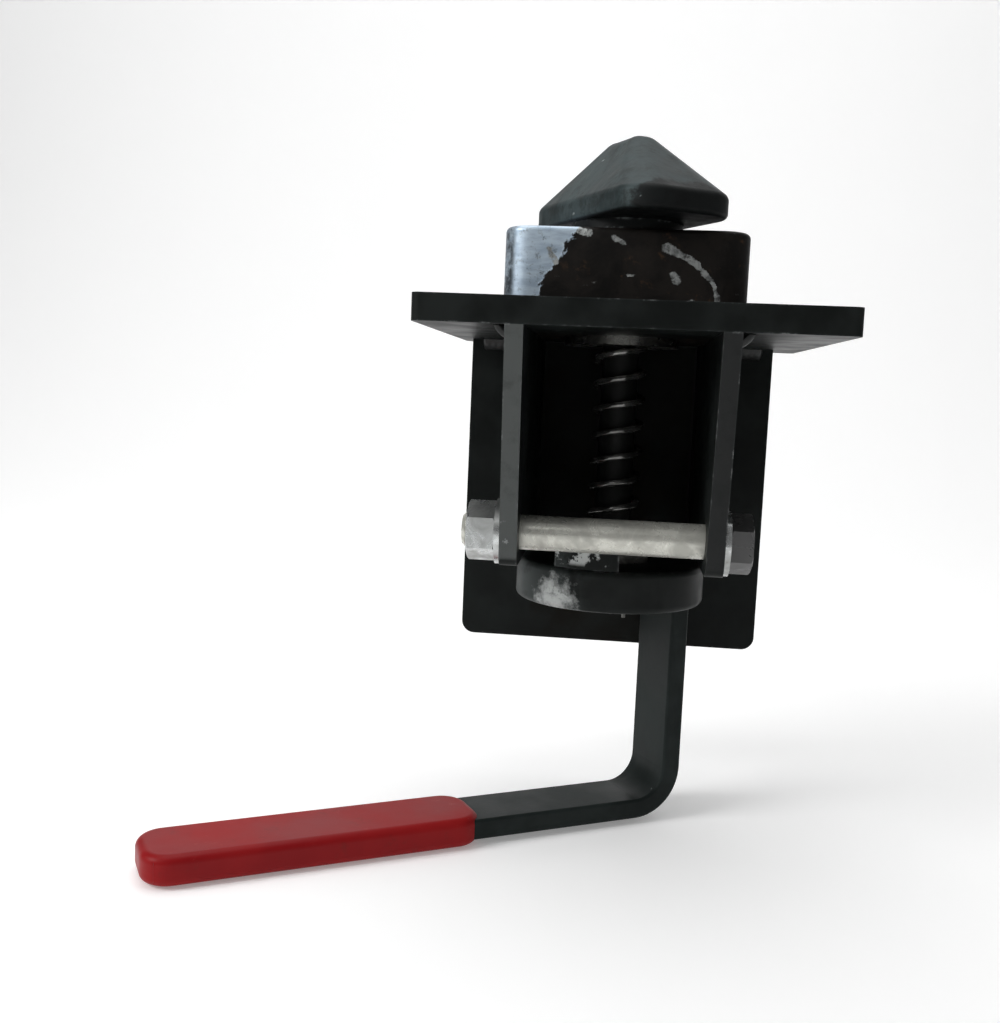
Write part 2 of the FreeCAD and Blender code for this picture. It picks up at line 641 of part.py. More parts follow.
def make_hub_fasteners():
    """Washer, castle nut and split pin in the hub's recess."""
    washer = ring("hub_washer", "hub_washer_diameter / 2", "tail_diameter / 2 + thread_clearance",
                  "hub_washer_thickness", "nut_top")
    turn_with_spindle(keep(washer, "hub_washer"))

    height = "(castle_body + castle_crown)"
    blank = place(hexagon("castle_blank", height), z="nut_bottom")
    cuts = [cylinder("castle_hole", "tail_diameter / 2 + thread_clearance", height, "nut_bottom")]
    for i in range(3):
        slot = primitive("Box", "castle_slot_%d" % i, Length="2 * bolt_flats",
                         Width="castle_slot", Height="castle_crown")
        angle = 60 * i
        slot.Placement = FreeCAD.Placement(FreeCAD.Vector(), FreeCAD.Rotation(Z_AXIS, angle))
        place(slot, "castle_slot / 2 * sin(%d) - bolt_flats * cos(%d)" % (angle, angle),
              "-castle_slot / 2 * cos(%d) - bolt_flats * sin(%d)" % (angle, angle), "nut_bottom")
        cuts.append(slot)
    nut = cut("castle_nut", blank, fuse("castle_cuts", cuts))
    turn_with_spindle(keep(nut, "castle_nut"))

    half = "bolt_flats / 2 / cos(30) + pin_reach"
    shank = cylinder("pin_shank", "pin_diameter / 2", "2 * (%s)" % half)
    shank.Placement = FreeCAD.Placement(FreeCAD.Vector(), FreeCAD.Rotation(Y_AXIS, 90))
    place(shank, "-(%s)" % half, "0", "pin_level")
    wire = "pin_diameter / 4"
    eye = primitive("Torus", "pin_eye", Radius1="pin_eye", Radius2=wire)
    place(eye, "-(%s) - pin_eye" % half, "0", "pin_level")
    tails = cylinder("pin_tails", wire, "2 * pin_tail")
    place(tails, "%s - pin_diameter / 4" % half, "0", "pin_level - pin_tail")
    turn_with_spindle(keep(fuse("split_pin", [shank, eye, tails]), "split_pin"))


def make_handle_bar():
    """Flat bar bent once: a stem down from the hub and an arm under the spindle."""
    body = new_body("handle_bar")
    path = body.newObject("Sketcher::SketchObject", "handle_path")
    plane = [f for f in body.Origin.OriginFeatures if f.Role == "YZ_Plane"][0]
    path.AttachmentSupport = [(plane, "")]
    path.MapMode = "FlatFace"
    stem, level, bend = value("stem_offset"), value("arm_level"), value("bend_radius")
    top, end = value("hub_bottom"), -value("arm_reach")
    turn = Part.Circle(FreeCAD.Vector(stem - bend, level + bend, 0), Z_AXIS, bend)
    path.addGeometry(Part.LineSegment(FreeCAD.Vector(stem, top, 0),
                                      FreeCAD.Vector(stem, level + bend, 0)), False)
    path.addGeometry(Part.ArcOfCircle(turn, -math.pi / 2, 0), False)
    path.addGeometry(Part.LineSegment(FreeCAD.Vector(stem - bend, level, 0),
                                      FreeCAD.Vector(end, level, 0)), False)
    for join in (("Tangent", 0, 2, 1, 2), ("Tangent", 1, 1, 2, 1), ("Vertical", 0),
                 ("Horizontal", 2)):
        path.addConstraint(Sketcher.Constraint(*join))
    fix_point(path, 0, 1, "stem_offset", "hub_bottom")
    fix_point(path, 2, 2, "-arm_reach", "arm_level")
    index = path.addConstraint(Sketcher.Constraint("Radius", 1, bend))
    path.setExpression("Constraints[%d]" % index, on_sheet("bend_radius"))
    section = rounded_rectangle(
        new_sketch(body, "bar_section", "XY_Plane", "hub_bottom", y="stem_offset"),
        "bar_width", "bar_thickness", "bar_edge")
    pipe = body.newObject("PartDesign::AdditivePipe", "bar_pipe")
    pipe.Profile = section
    pipe.Spine = (path, ["Edge1", "Edge2", "Edge3"])
    turn_with_spindle(keep(body, "handle_bar"))


def make_handle_weld():
    """Fillet welds between the stem and the underside of the hub."""
    inner = prism_bead("inner_bead", "handle_weld_leg", "handle_weld_leg", "bar_width - 2 * bar_edge",
                       -Z_AXIS, -Y_AXIS, "bar_width / 2 - bar_edge",
                       "stem_offset - bar_thickness / 2", "hub_bottom")
    right = prism_bead("right_bead", "handle_weld_leg", "handle_weld_leg",
                       "bar_thickness - 2 * bar_edge", X_AXIS, -Z_AXIS, "bar_width / 2",
                       "stem_offset - bar_thickness / 2 + bar_edge", "hub_bottom")
    left = prism_bead("left_bead", "handle_weld_leg", "handle_weld_leg",
                      "bar_thickness - 2 * bar_edge", -Z_AXIS, -X_AXIS, "-bar_width / 2",
                      "stem_offset - bar_thickness / 2 + bar_edge", "hub_bottom")
    turn_with_spindle(keep(group("handle_weld", [inner, right, left]), "handle_weld"))


def make_grip():
    """Plastic sleeve pushed over the end of the bar."""
    body = new_body("handle_grip")
    plan = rounded_rectangle(
        new_sketch(body, "grip_plan", "XY_Plane", "arm_level - grip_thickness / 2",
                   y="-grip_start - grip_length / 2"),
        "grip_width", "grip_length", "grip_corner")
    pad(body, "grip_pad", plan, "grip_thickness")
    low = value("arm_level - grip_thickness / 2")
    high = value("arm_level + grip_thickness / 2")
    fillet(body, "grip_edges", "grip_edge",
           lambda edge: is_level(edge, low) or is_level(edge, high))
    socket = rounded_rectangle(
        new_sketch(body, "grip_socket_outline", "XZ_Plane", "grip_start", y="arm_level"),
        "bar_width + 2 * grip_clearance", "bar_thickness + 2 * grip_clearance",
        "bar_edge + grip_clearance")
    pocket(body, "grip_socket", socket, "grip_length - grip_end_wall + grip_clearance", down=True)
    turn_with_spindle(keep(body, "handle_grip"))


make_flange()
make_shear_block()
make_cheek("left_cheek", "-cheek_outer")
make_cheek("right_cheek", "cheek_gap / 2")
make_back_plate()
make_gussets()
make_housing_welds()
make_cross_bolt()
make_spring_seat("upper_spring_seat", "bore_radius + upper_seat_reach",
                 "-flange_thickness - seat_thickness", "-flange_thickness - seat_thickness")
make_spring_seat("lower_spring_seat", "lower_seat_diameter / 2", "hub_top",
                 "hub_top + seat_thickness - seat_recess")
make_spring()
make_spindle()
make_hub()
make_hub_fasteners()
make_handle_bar()
make_handle_weld()
make_grip()
doc.recompute()

for item in doc.Objects:
    if "Invalid" in item.State or "Error" in item.State:
        raise RuntimeError("%s did not build: %s" % (item.Label, item.State))
for node in nodes:
    if node.Shape.isNull() or not node.Shape.isValid() or not node.Shape.Solids:
        raise RuntimeError("%s has no valid shape" % node.Label)

os.makedirs("parts", exist_ok=True)
for node in nodes:
    node.Shape.exportStep("parts/%s.step" % node.Label)
    box = node.Shape.BoundBox
    print("%-20s solids %d volume %9.0f  x %7.1f %7.1f  y %7.1f %7.1f  z %7.1f %7.1f" % (
        node.Label, len(node.Shape.Solids), node.Shape.Volume,
        box.XMin, box.XMax, box.YMin, box.YMax, box.ZMin, box.ZMax))
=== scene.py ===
import json
import math
import random

import bmesh
import bpy
from mathutils import Matrix, Vector


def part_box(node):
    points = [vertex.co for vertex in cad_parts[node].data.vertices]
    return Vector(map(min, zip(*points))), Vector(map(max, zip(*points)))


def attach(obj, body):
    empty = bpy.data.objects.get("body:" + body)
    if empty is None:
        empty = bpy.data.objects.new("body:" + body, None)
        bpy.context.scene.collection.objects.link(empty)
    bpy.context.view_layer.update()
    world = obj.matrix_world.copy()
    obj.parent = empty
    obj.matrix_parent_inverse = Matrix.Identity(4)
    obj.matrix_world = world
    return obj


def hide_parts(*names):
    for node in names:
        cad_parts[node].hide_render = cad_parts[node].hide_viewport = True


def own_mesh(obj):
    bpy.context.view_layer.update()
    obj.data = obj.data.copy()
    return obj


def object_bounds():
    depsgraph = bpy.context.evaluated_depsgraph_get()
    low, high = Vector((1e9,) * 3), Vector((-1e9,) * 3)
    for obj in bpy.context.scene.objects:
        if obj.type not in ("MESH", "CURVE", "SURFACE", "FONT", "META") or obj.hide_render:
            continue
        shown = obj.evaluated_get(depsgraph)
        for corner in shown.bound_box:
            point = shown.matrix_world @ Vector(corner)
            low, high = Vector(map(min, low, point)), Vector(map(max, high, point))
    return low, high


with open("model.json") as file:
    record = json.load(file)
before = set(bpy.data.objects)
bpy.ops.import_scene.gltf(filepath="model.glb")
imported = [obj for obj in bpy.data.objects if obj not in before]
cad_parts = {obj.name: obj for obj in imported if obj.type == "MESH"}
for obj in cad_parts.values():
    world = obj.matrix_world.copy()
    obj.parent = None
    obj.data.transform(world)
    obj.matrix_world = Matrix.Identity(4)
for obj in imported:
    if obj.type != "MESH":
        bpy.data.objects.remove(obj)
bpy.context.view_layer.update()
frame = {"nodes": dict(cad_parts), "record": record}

MM = 0.001
nodes = frame["nodes"]
body_of = {name: body for body, names in frame["record"]["behaviour"]["bodies"].items() for name in names}


# ---------------------------------------------------------------- camera
IMAGE_HEIGHT = 1023
FOCAL = 657.3
ZOOM = 1.72


def make_camera():
    """The photograph's standpoint, aimed at the middle of the object."""
    data = bpy.data.cameras.new("camera")
    data.sensor_width = 36
    data.lens = FOCAL * ZOOM * data.sensor_width / IMAGE_HEIGHT
    data.clip_start = 0.01
    data.clip_end = 20
    camera = bpy.data.objects.new("camera", data)
    bpy.context.scene.collection.objects.link(camera)
    right = Vector((0.9939, 0.1017, 0.0426)).normalized()
    ahead = Vector((-0.0967, 0.9896, -0.1069)).normalized()
    up = right.cross(ahead).normalized()
    right = ahead.cross(up)
    spot = Vector((-1.28, -570.66, -39.72)) * MM
    camera.matrix_world = Matrix.Translation(spot) @ Matrix((right, up, -ahead)).transposed().to_4x4()
    bpy.context.scene.camera = camera
    bpy.context.scene.view_settings.view_transform = "Standard"


# ---------------------------------------------------------------- shader building
class Shader:
    """A material whose inputs are built up from noise, masks and mixes."""

    def __init__(self, name):
        self.material = bpy.data.materials.new(name)
        self.material.use_nodes = True
        self.tree = self.material.node_tree
        self.bsdf = self.tree.nodes["Principled BSDF"]
        self.place = self.add("ShaderNodeTexCoord").outputs["Object"]

    def add(self, kind, **settings):
        node = self.tree.nodes.new(kind)
        for key, setting in settings.items():
            setattr(node, key, setting)
        return node

    def feed(self, socket, source):
        if isinstance(source, bpy.types.NodeSocket):
            self.tree.links.new(source, socket)
        elif isinstance(source, tuple) and len(source) == 3 and socket.type == "RGBA":
            socket.default_value = (*source, 1)
        else:
            socket.default_value = source

    def stretched(self, x, y, z):
        node = self.add("ShaderNodeVectorMath", operation="MULTIPLY")
        self.feed(node.inputs[0], self.place)
        node.inputs[1].default_value = (x, y, z)
        return node.outputs[0]

    def noise(self, scale, detail=3, rough=0.55, warp=0, at=None):
        node = self.add("ShaderNodeTexNoise")
        self.feed(node.inputs["Vector"], at or self.place)
        node.inputs["Scale"].default_value = scale
        node.inputs["Detail"].default_value = detail
        node.inputs["Roughness"].default_value = rough
        node.inputs["Distortion"].default_value = warp
        return node.outputs[0]

    def cells(self, scale, at=None):
        """Distance from scattered points, with ragged outlines."""
        node = self.add("ShaderNodeTexVoronoi", feature="F1")
        self.feed(node.inputs["Vector"], at or self.place)
        node.inputs["Scale"].default_value = scale
        ragged = self.calc("MULTIPLY", self.calc("SUBTRACT", self.noise(scale * 9, 4, 0.7), 0.5), 0.34)
        return self.calc("ADD", node.outputs["Distance"], ragged)

    def span(self, source, low, high, to_low=0, to_high=1):
        node = self.add("ShaderNodeMapRange", clamp=True, interpolation_type="SMOOTHSTEP")
        self.feed(node.inputs["Value"], source)
        for key, number in (("From Min", low), ("From Max", high), ("To Min", to_low), ("To Max", to_high)):
            node.inputs[key].default_value = number
        return node.outputs[0]

    def calc(self, operation, first, second=0.0):
        node = self.add("ShaderNodeMath", operation=operation)
        self.feed(node.inputs[0], first)
        self.feed(node.inputs[1], second)
        return node.outputs[0]

    def both(self, first, second):
        return self.calc("MULTIPLY", first, second)

    def either(self, first, second):
        return self.calc("MAXIMUM", first, second)

    def blend(self, share, first, second):
        node = self.add("ShaderNodeMix", data_type="RGBA")
        self.feed(node.inputs[0], share)
        self.feed(node.inputs[6], first)
        self.feed(node.inputs[7], second)
        return node.outputs[2]

    def level(self, share, first, second):
        node = self.add("ShaderNodeMix", data_type="FLOAT")
        self.feed(node.inputs[0], share)
        self.feed(node.inputs[2], first)
        self.feed(node.inputs[3], second)
        return node.outputs[0]

    def axis(self, letter):
        node = self.add("ShaderNodeSeparateXYZ")
        self.feed(node.inputs[0], self.place)
        return node.outputs[letter]

    def facing(self, letter):
        node = self.add("ShaderNodeSeparateXYZ")
        geometry = self.add("ShaderNodeNewGeometry")
        self.feed(node.inputs[0], geometry.outputs["Normal"])
        return node.outputs[letter]

    def edges(self, radius, low=0.03, high=0.16):
        """High where the surface turns within radius of the point."""
        bevel = self.add("ShaderNodeBevel", samples=6)
        bevel.inputs["Radius"].default_value = radius * MM
        geometry = self.add("ShaderNodeNewGeometry")
        dot = self.add("ShaderNodeVectorMath", operation="DOT_PRODUCT")
        self.feed(dot.inputs[0], bevel.outputs[0])
        self.feed(dot.inputs[1], geometry.outputs["Normal"])
        turned = self.calc("SUBTRACT", 1.0, dot.outputs["Value"])
        return self.span(turned, low, high)

    def scratch(self, start, end, half_width, wander=0.0):
        """High near the line from start to end, both in mm in the XZ plane."""
        flat = self.add("ShaderNodeVectorMath", operation="MULTIPLY_ADD")
        self.feed(flat.inputs[0], self.place)
        flat.inputs[1].default_value = (1000, 0, 1000)
        flat.inputs[2].default_value = (-start[0], 0, -start[1])
        run = (end[0] - start[0], 0, end[1] - start[1])
        length = math.hypot(run[0], run[2])
        along = self.add("ShaderNodeVectorMath", operation="DOT_PRODUCT")
        self.feed(along.inputs[0], flat.outputs[0])
        along.inputs[1].default_value = (run[0] / length ** 2, 0, run[2] / length ** 2)
        share = self.add("ShaderNodeClamp")
        self.feed(share.inputs[0], along.outputs["Value"])
        foot = self.add("ShaderNodeVectorMath", operation="SCALE")
        foot.inputs[0].default_value = run
        self.feed(foot.inputs["Scale"], share.outputs[0])
        gap = self.add("ShaderNodeVectorMath", operation="DISTANCE")
        self.feed(gap.inputs[0], flat.outputs[0])
        self.feed(gap.inputs[1], foot.outputs[0])
        distance = gap.outputs["Value"]
        if wander:
            rough = self.noise(210, 5, 0.7)
            distance = self.calc("ADD", distance, self.calc("MULTIPLY", self.calc("SUBTRACT", rough, 0.5), wander))
        return self.span(distance, half_width * 0.6, half_width, 1, 0)

    def bump(self, height, strength, distance, under=None):
        node = self.add("ShaderNodeBump")
        node.inputs["Strength"].default_value = strength
        node.inputs["Distance"].default_value = distance * MM
        self.feed(node.inputs["Height"], height)
        if under is not None:
            self.feed(node.inputs["Normal"], under)
        return node.outputs[0]

    def finish(self, colour, rough, metal=0.0, normal=None, **fixed):
        self.feed(self.bsdf.inputs["Base Color"], colour)
        self.feed(self.bsdf.inputs["Roughness"], rough)
        self.feed(self.bsdf.inputs["Metallic"], metal)
        if normal is not None:
            self.feed(self.bsdf.inputs["Normal"], normal)
        for key, setting in fixed.items():
            self.bsdf.inputs[key.replace("_", " ")].default_value = setting
        return self.material


# ---------------------------------------------------------------- materials
PAINT = (0.0060, 0.0072, 0.0068)
PAINT_LIGHT = (0.0125, 0.0148, 0.0142)


def painted(name, tint=PAINT, light=PAINT_LIGHT, wear=0.35, edge_radius=1.4, inside_shade_and_brown=None, front_edge_sheen=None,
            hub_painted_light=False, dust=0.35):
    """Satin black paint on plate: orange peel, dust on top faces, edges rubbed bright, a few chips; optional painted
    shade with a brown tone within the pocket, a painted highlight on a front edge, and painted light and glints on the
    hub.
    """
    s = Shader(name)
    patches = s.span(s.noise(34, 4), 0.35, 0.68)
    colour = s.blend(patches, tint, light)
    settled = s.both(s.span(s.facing("Z"), 0.4, 0.95), s.span(s.noise(120, 6, 0.75), 0.42, 0.72))
    colour = s.blend(s.both(settled, dust), colour, (0.060, 0.064, 0.062))
    # painted shade: the pocket's faces made darker, with a brown primer tone; the brown mask holds both
    if inside_shade_and_brown:
        brown = s.both(s.span(s.axis("Y"), -0.010, 0.045), s.span(s.noise(26, 4), 0.3, 0.6))
        brown = s.both(brown, s.span(s.calc("ABSOLUTE", s.axis("X")), 0.0450, 0.0425))
        brown = s.both(brown, s.span(s.axis("Y"), 0.0640, 0.0610))
        colour = s.blend(brown, colour, inside_shade_and_brown)
    # painted highlight: the cheek's leaning front edge lightened as a reflection of the floor, broken up by noise
    if front_edge_sheen:
        edge_sheen = s.both(s.span(s.facing("Y"), -0.80, -0.97), s.span(s.axis("Y"), -0.050, -0.056))
        edge_sheen = s.both(edge_sheen, s.span(s.noise(70, 5, 0.7), 0.25, 0.55, 0.55, 1))
        colour = s.blend(edge_sheen, colour, front_edge_sheen)
    rim = s.edges(edge_radius)
    rubbed = s.both(rim, s.span(s.noise(130, 5, 0.7), 0.62 - wear * 0.3, 0.72))
    # painted light on the hub: its left side made lighter as if lit, painted glints on the lug's top and a painted
    # highlight on the lower front rim, drawn as bare metal
    if hub_painted_light:
        lit_side = s.both(s.span(s.axis("X"), 0.000, -0.026), s.span(s.noise(48, 4, 0.65), 0.34, 0.54))
        colour = s.blend(lit_side, colour, (0.034, 0.040, 0.039))
        raised = s.span(s.axis("Z"), -0.1210, -0.1185)
        lug_glints = s.both(raised, s.span(s.noise(120, 5, 0.7), 0.50, 0.57))
        spot = s.add("ShaderNodeVectorMath", operation="DISTANCE")
        s.feed(spot.inputs[0], s.place)
        spot.inputs[1].default_value = (-0.026, -0.039, -0.137)
        torn = s.calc("MULTIPLY", s.calc("SUBTRACT", s.noise(120, 6, 0.75), 0.5), 0.026)
        rim_glint = s.span(s.calc("ADD", spot.outputs["Value"], torn), 0.0130, 0.0020)
        rim_glint = s.both(rim_glint, s.span(s.noise(300, 5, 0.75), 0.30, 0.52, 0.3, 1))
        painted_glints = s.either(lug_glints, rim_glint)
        # the painted glints join the rubbed-edge mask, so they are also made metallic and lifted
        rubbed = s.either(rubbed, painted_glints)
    soft = s.both(rim, 0.22)
    chips = s.span(s.both(s.span(s.cells(70), 0.16, 0.02), s.span(s.noise(19, 2), 0.55, 0.66)), 0.3, 0.7)
    bare = s.either(rubbed, chips)
    colour = s.blend(soft, colour, (0.050, 0.056, 0.056))
    colour = s.blend(bare, colour, (0.22, 0.23, 0.23))
    # the painted glints are made brighter still
    if hub_painted_light:
        colour = s.blend(painted_glints, colour, (0.42, 0.44, 0.43))
    rough = s.level(patches, 0.36, 0.52)
    rough = s.level(bare, rough, 0.45)
    peel = s.bump(s.noise(620, 2), 0.10, 0.25)
    waves = s.bump(s.noise(48, 2), 0.10, 1.0, peel)
    lifted = s.bump(s.calc("SUBTRACT", 1.0, bare), 0.5, 0.15, waves)
    return s.finish(colour, rough, s.both(bare, 0.75), lifted, Specular_IOR_Level=0.09)


def block_steel():
    """The shear block: black and brown paint scraped by castings, with a bare end and bright scratches; the bare end's
    blue is a painted sky reflection and its end face carries painted shade.
    """
    s = Shader("worn_block_steel")
    grime = s.noise(42, 6, 0.68, 0.6)
    colour = s.blend(s.span(grime, 0.38, 0.66), (0.0060, 0.0055, 0.0050), (0.017, 0.014, 0.012))
    rust = s.both(s.span(s.noise(70, 6, 0.75), 0.56, 0.70), s.span(s.noise(18, 2), 0.45, 0.6))
    colour = s.blend(s.both(rust, 0.7), colour, (0.085, 0.045, 0.022))
    lean = s.calc("MULTIPLY_ADD", s.axis("Z"), -0.66)
    lean.node.inputs[2].default_value = 0.0470
    reach = s.calc("ADD", s.axis("X"), lean)
    ragged = s.calc("MULTIPLY_ADD", s.noise(95, 5, 0.7), 0.020)
    ragged.node.inputs[2].default_value = -0.010
    bare_end = s.span(s.calc("ADD", reach, ragged), -0.0005, 0.0012, 1, 0)
    bare_end = s.both(bare_end, s.span(s.noise(240, 4, 0.7), 0.24, 0.40))
    rim = s.edges(2.2)
    rubbed = s.both(rim, s.span(s.noise(120, 6, 0.75), 0.55, 0.64))
    marks = s.scratch((18, 29), (24, 27), 2.3, 5.0)
    for start, end, half in (((24, 27), (33, 22), 1.5), ((33, 22), (41, 13), 1.2), ((41, 13), (44, 3), 1.0),
                             ((22, 17), (24, 14), 1.8), ((-6, 33), (-2, 31), 1.9), ((-36, 27), (-33, 21), 1.7),
                             ((-22, 36), (-18, 35), 1.8)):
        marks = s.either(marks, s.scratch(start, end, half, 5.0))
    front = s.span(s.facing("Y"), -0.2, -0.6)
    marks = s.both(s.both(marks, front), s.span(s.noise(280, 6, 0.8), 0.36, 0.52, 0.12, 1))
    long_cells = s.cells(60, at=s.stretched(1.0, 1.0, 2.6))
    specks = s.both(s.span(long_cells, 0.13, 0.03), s.span(s.noise(22, 2), 0.47, 0.58))
    bright = s.either(s.either(rubbed, marks), specks)
    brushed = s.noise(420, 3, at=s.stretched(0.25, 1, 1))
    # bare steel, its blue tint a painted reflection of the sky
    bare_sky_shade_colour = s.blend(s.span(brushed, 0.3, 0.7), (0.41, 0.51, 0.62), (0.58, 0.69, 0.79))
    pits = s.both(s.span(s.noise(210, 6, 0.8), 0.55, 0.66), 0.6)
    bare_sky_shade_colour = s.blend(pits, bare_sky_shade_colour, (0.13, 0.15, 0.17))
    # painted shade: the bare end face made darker, as if turned from the light
    end_face_shade = s.both(s.span(s.axis("X"), -0.0515, -0.0545), s.span(s.noise(95, 6, 0.7), 0.36, 0.54, 0.35, 1))
    bare_sky_shade_colour = s.blend(end_face_shade, bare_sky_shade_colour, (0.062, 0.074, 0.084))
    colour = s.blend(bare_end, colour, bare_sky_shade_colour)
    glare = s.blend(s.span(s.noise(190, 4, 0.7), 0.36, 0.62), (0.15, 0.16, 0.16), (0.46, 0.48, 0.47))
    colour = s.blend(bright, colour, glare)
    rough = s.level(bare_end, s.level(s.span(grime, 0.4, 0.7), 0.45, 0.68), 0.40)
    pitted = s.bump(s.noise(300, 6, 0.7), 0.35, 0.35)
    scraped = s.bump(s.calc("SUBTRACT", 1.0, s.either(bright, bare_end)), 0.6, 0.25, pitted)
    return s.finish(colour, rough, s.level(bright, s.both(bare_end, 0.45), 0.7), scraped,
                    Specular_IOR_Level=0.16)


HEAD_TURN = math.radians(-60)


def forged():
    """The spindle: a forging with a rough skin, dull grey on its upper faces, bright on its edges; the head's ends,
    lower rim and underside are darkened as painted shade, the oily shank with them.
    """
    s = Shader("forged_steel")
    mottle = s.noise(60, 6, 0.65, 0.4)
    colour = s.blend(s.span(mottle, 0.34, 0.68), (0.020, 0.029, 0.030), (0.050, 0.067, 0.069))
    scale = s.both(s.span(s.noise(75, 6, 0.75), 0.50, 0.60), 0.6)
    colour = s.blend(scale, colour, (0.016, 0.020, 0.020))
    # painted shade: the head's ends and everything under the head's top edge darkened, which also darkens the oily
    # shank
    across = s.add("ShaderNodeVectorMath", operation="DOT_PRODUCT")
    s.feed(across.inputs[0], s.place)
    across.inputs[1].default_value = (math.cos(HEAD_TURN), math.sin(HEAD_TURN), 0)
    reach = s.calc("ABSOLUTE", across.outputs["Value"])
    frayed = s.calc("MULTIPLY_ADD", s.noise(75, 4, 0.65), 0.012)
    frayed.node.inputs[2].default_value = -0.006
    shaded_rim_and_shank = s.span(s.calc("ADD", reach, frayed), 0.0470, 0.0495)
    shaded_rim_and_shank = s.either(shaded_rim_and_shank, s.span(s.axis("Z"), 0.0445, 0.0435))
    colour = s.blend(s.both(shaded_rim_and_shank, 0.92), colour, (0.008, 0.0085, 0.0085))
    # more painted shade under the head, also on the shank
    shade_below_head = s.span(s.axis("Z"), 0.0400, 0.0380)
    colour = s.blend(s.both(shade_below_head, 0.8), colour, (0.012, 0.0125, 0.012))
    rim = s.edges(2.6)
    rubbed = s.both(rim, s.span(s.noise(110, 6, 0.75), 0.50, 0.66))
    specks = s.both(s.span(s.cells(85, at=s.stretched(1, 1, 1.8)), 0.11, 0.02), s.span(s.noise(30, 2), 0.5, 0.6))
    bright = s.either(s.both(rubbed, 0.7), specks)
    colour = s.blend(bright, colour, (0.30, 0.33, 0.33))
    rough = s.level(s.span(mottle, 0.3, 0.7), 0.42, 0.58)
    skin = s.bump(s.noise(170, 5, 0.6), 0.45, 0.5)
    dents = s.bump(s.noise(38, 2), 0.45, 1.8, skin)
    return s.finish(colour, rough, s.level(bright, 0.15, 0.9), dents, Specular_IOR_Level=0.14)


def zinc(name, tint=(0.66, 0.66, 0.60), dull=(0.42, 0.42, 0.38), shade_beyond=None, metal=0.92):
    """Zinc plate: bright, with cloudy dull patches and fine turning marks; past a given X it is darkened as painted
    shade.
    """
    s = Shader(name)
    cloud = s.noise(75, 5, 0.6, 0.8)
    colour = s.blend(s.span(cloud, 0.36, 0.66), tint, dull)
    stain = s.both(s.span(s.noise(150, 5, 0.7), 0.60, 0.70), 0.5)
    colour = s.blend(stain, colour, (0.14, 0.11, 0.075))
    # painted shade: the zinc darkened past this X, where the bolt head sits beyond the right cheek
    if shade_beyond:
        colour = s.blend(s.span(s.axis("X"), shade_beyond * MM, (shade_beyond + 0.4) * MM), colour, (0.10, 0.10, 0.10))
    rough = s.level(s.span(cloud, 0.35, 0.7), 0.22, 0.42)
    turned = s.bump(s.noise(900, 2, at=s.stretched(0.12, 1, 1)), 0.12, 0.12)
    return s.finish(colour, rough, metal, turned)


def spring_wire():
    s = Shader("spring_steel")
    cloud = s.noise(160, 4)
    colour = s.blend(s.span(cloud, 0.35, 0.65), (0.11, 0.11, 0.105), (0.28, 0.28, 0.27))
    return s.finish(colour, s.level(cloud, 0.14, 0.26), 0.85, s.bump(s.noise(700, 2), 0.2, 0.15))


def pvc():
    """The grip: dipped red PVC, semi-gloss, a little uneven, scuffed and grimy in patches."""
    s = Shader("red_pvc")
    cloud = s.noise(22, 3)
    colour = s.blend(s.span(cloud, 0.3, 0.7), (0.235, 0.006, 0.008), (0.300, 0.010, 0.011))
    scuff = s.both(s.span(s.noise(190, 6, 0.75), 0.58, 0.70), s.span(s.noise(30, 2), 0.45, 0.62))
    colour = s.blend(s.both(scuff, 0.45), colour, (0.50, 0.12, 0.10))
    grime = s.both(s.span(s.noise(85, 5, 0.7), 0.57, 0.74), 0.5)
    colour = s.blend(grime, colour, (0.16, 0.014, 0.012))
    rough = s.level(s.span(cloud, 0.3, 0.7), 0.36, 0.50)
    skin = s.bump(s.noise(520, 3), 0.12, 0.2)
    sag = s.bump(s.noise(34, 2), 0.25, 1.4, skin)
    return s.finish(colour, rough, 0.0, sag, Specular_IOR_Level=0.12)


def weld_metal(name):
    """Painted weld beads: the plate's black, thinner on the crests."""
    s = Shader(name)
    colour = s.blend(s.span(s.noise(90, 4), 0.35, 0.65), (0.007, 0.008, 0.0076), (0.018, 0.020, 0.0195))
    rub = s.both(s.edges(0.8, 0.05, 0.3), s.span(s.noise(200, 4, 0.7), 0.5, 0.66))
    colour = s.blend(s.both(rub, 0.6), colour, (0.16, 0.165, 0.165))
    return s.finish(colour, 0.40, s.both(rub, 0.5), s.bump(s.noise(420, 3), 0.3, 0.3), Specular_IOR_Level=0.35)


def dress(material, *names):
    """Gives CAD nodes a material in all their slots."""
    for name in names:
        slots = nodes[name].data.materials
        for index in range(max(len(slots), 1)):
            if index < len(slots):
                slots[index] = material
            else:
                slots.append(material)


# ---------------------------------------------------------------- mesh pieces
def new_piece(name, mesh_builder, material, body, smooth=True):
    mesh = bpy.data.meshes.new(name)
    build = bmesh.new()
    mesh_builder(build)
    bmesh.ops.recalc_face_normals(build, faces=build.faces)
    build.to_mesh(mesh)
    build.free()
    for face in mesh.polygons:
        face.use_smooth = smooth
    mesh.materials.append(material)
    piece = bpy.data.objects.new(name, mesh)
    bpy.context.scene.collection.objects.link(piece)
    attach(piece, body)
    return piece


def islands(name, turn=0.0):
    """The corner points of each separate solid of a CAD node, turned about Z."""
    build = bmesh.new()
    build.from_mesh(nodes[name].data)
    build.transform(Matrix.Rotation(turn, 4, "Z"))
    bmesh.ops.remove_doubles(build, verts=build.verts, dist=1e-6)
    left = set(build.verts)
    groups = []
    while left:
        stack = [left.pop()]
        found = []
        while stack:
            vertex = stack.pop()
            found.append(vertex.co.copy())
            for edge in vertex.link_edges:
                other = edge.other_vert(vertex)
                if other in left:
                    left.remove(other)
                    stack.append(other)
        groups.append(found)
    build.free()
    return sorted(groups, key=lambda group: min(tuple(round(x, 5) for x in point) for point in group))


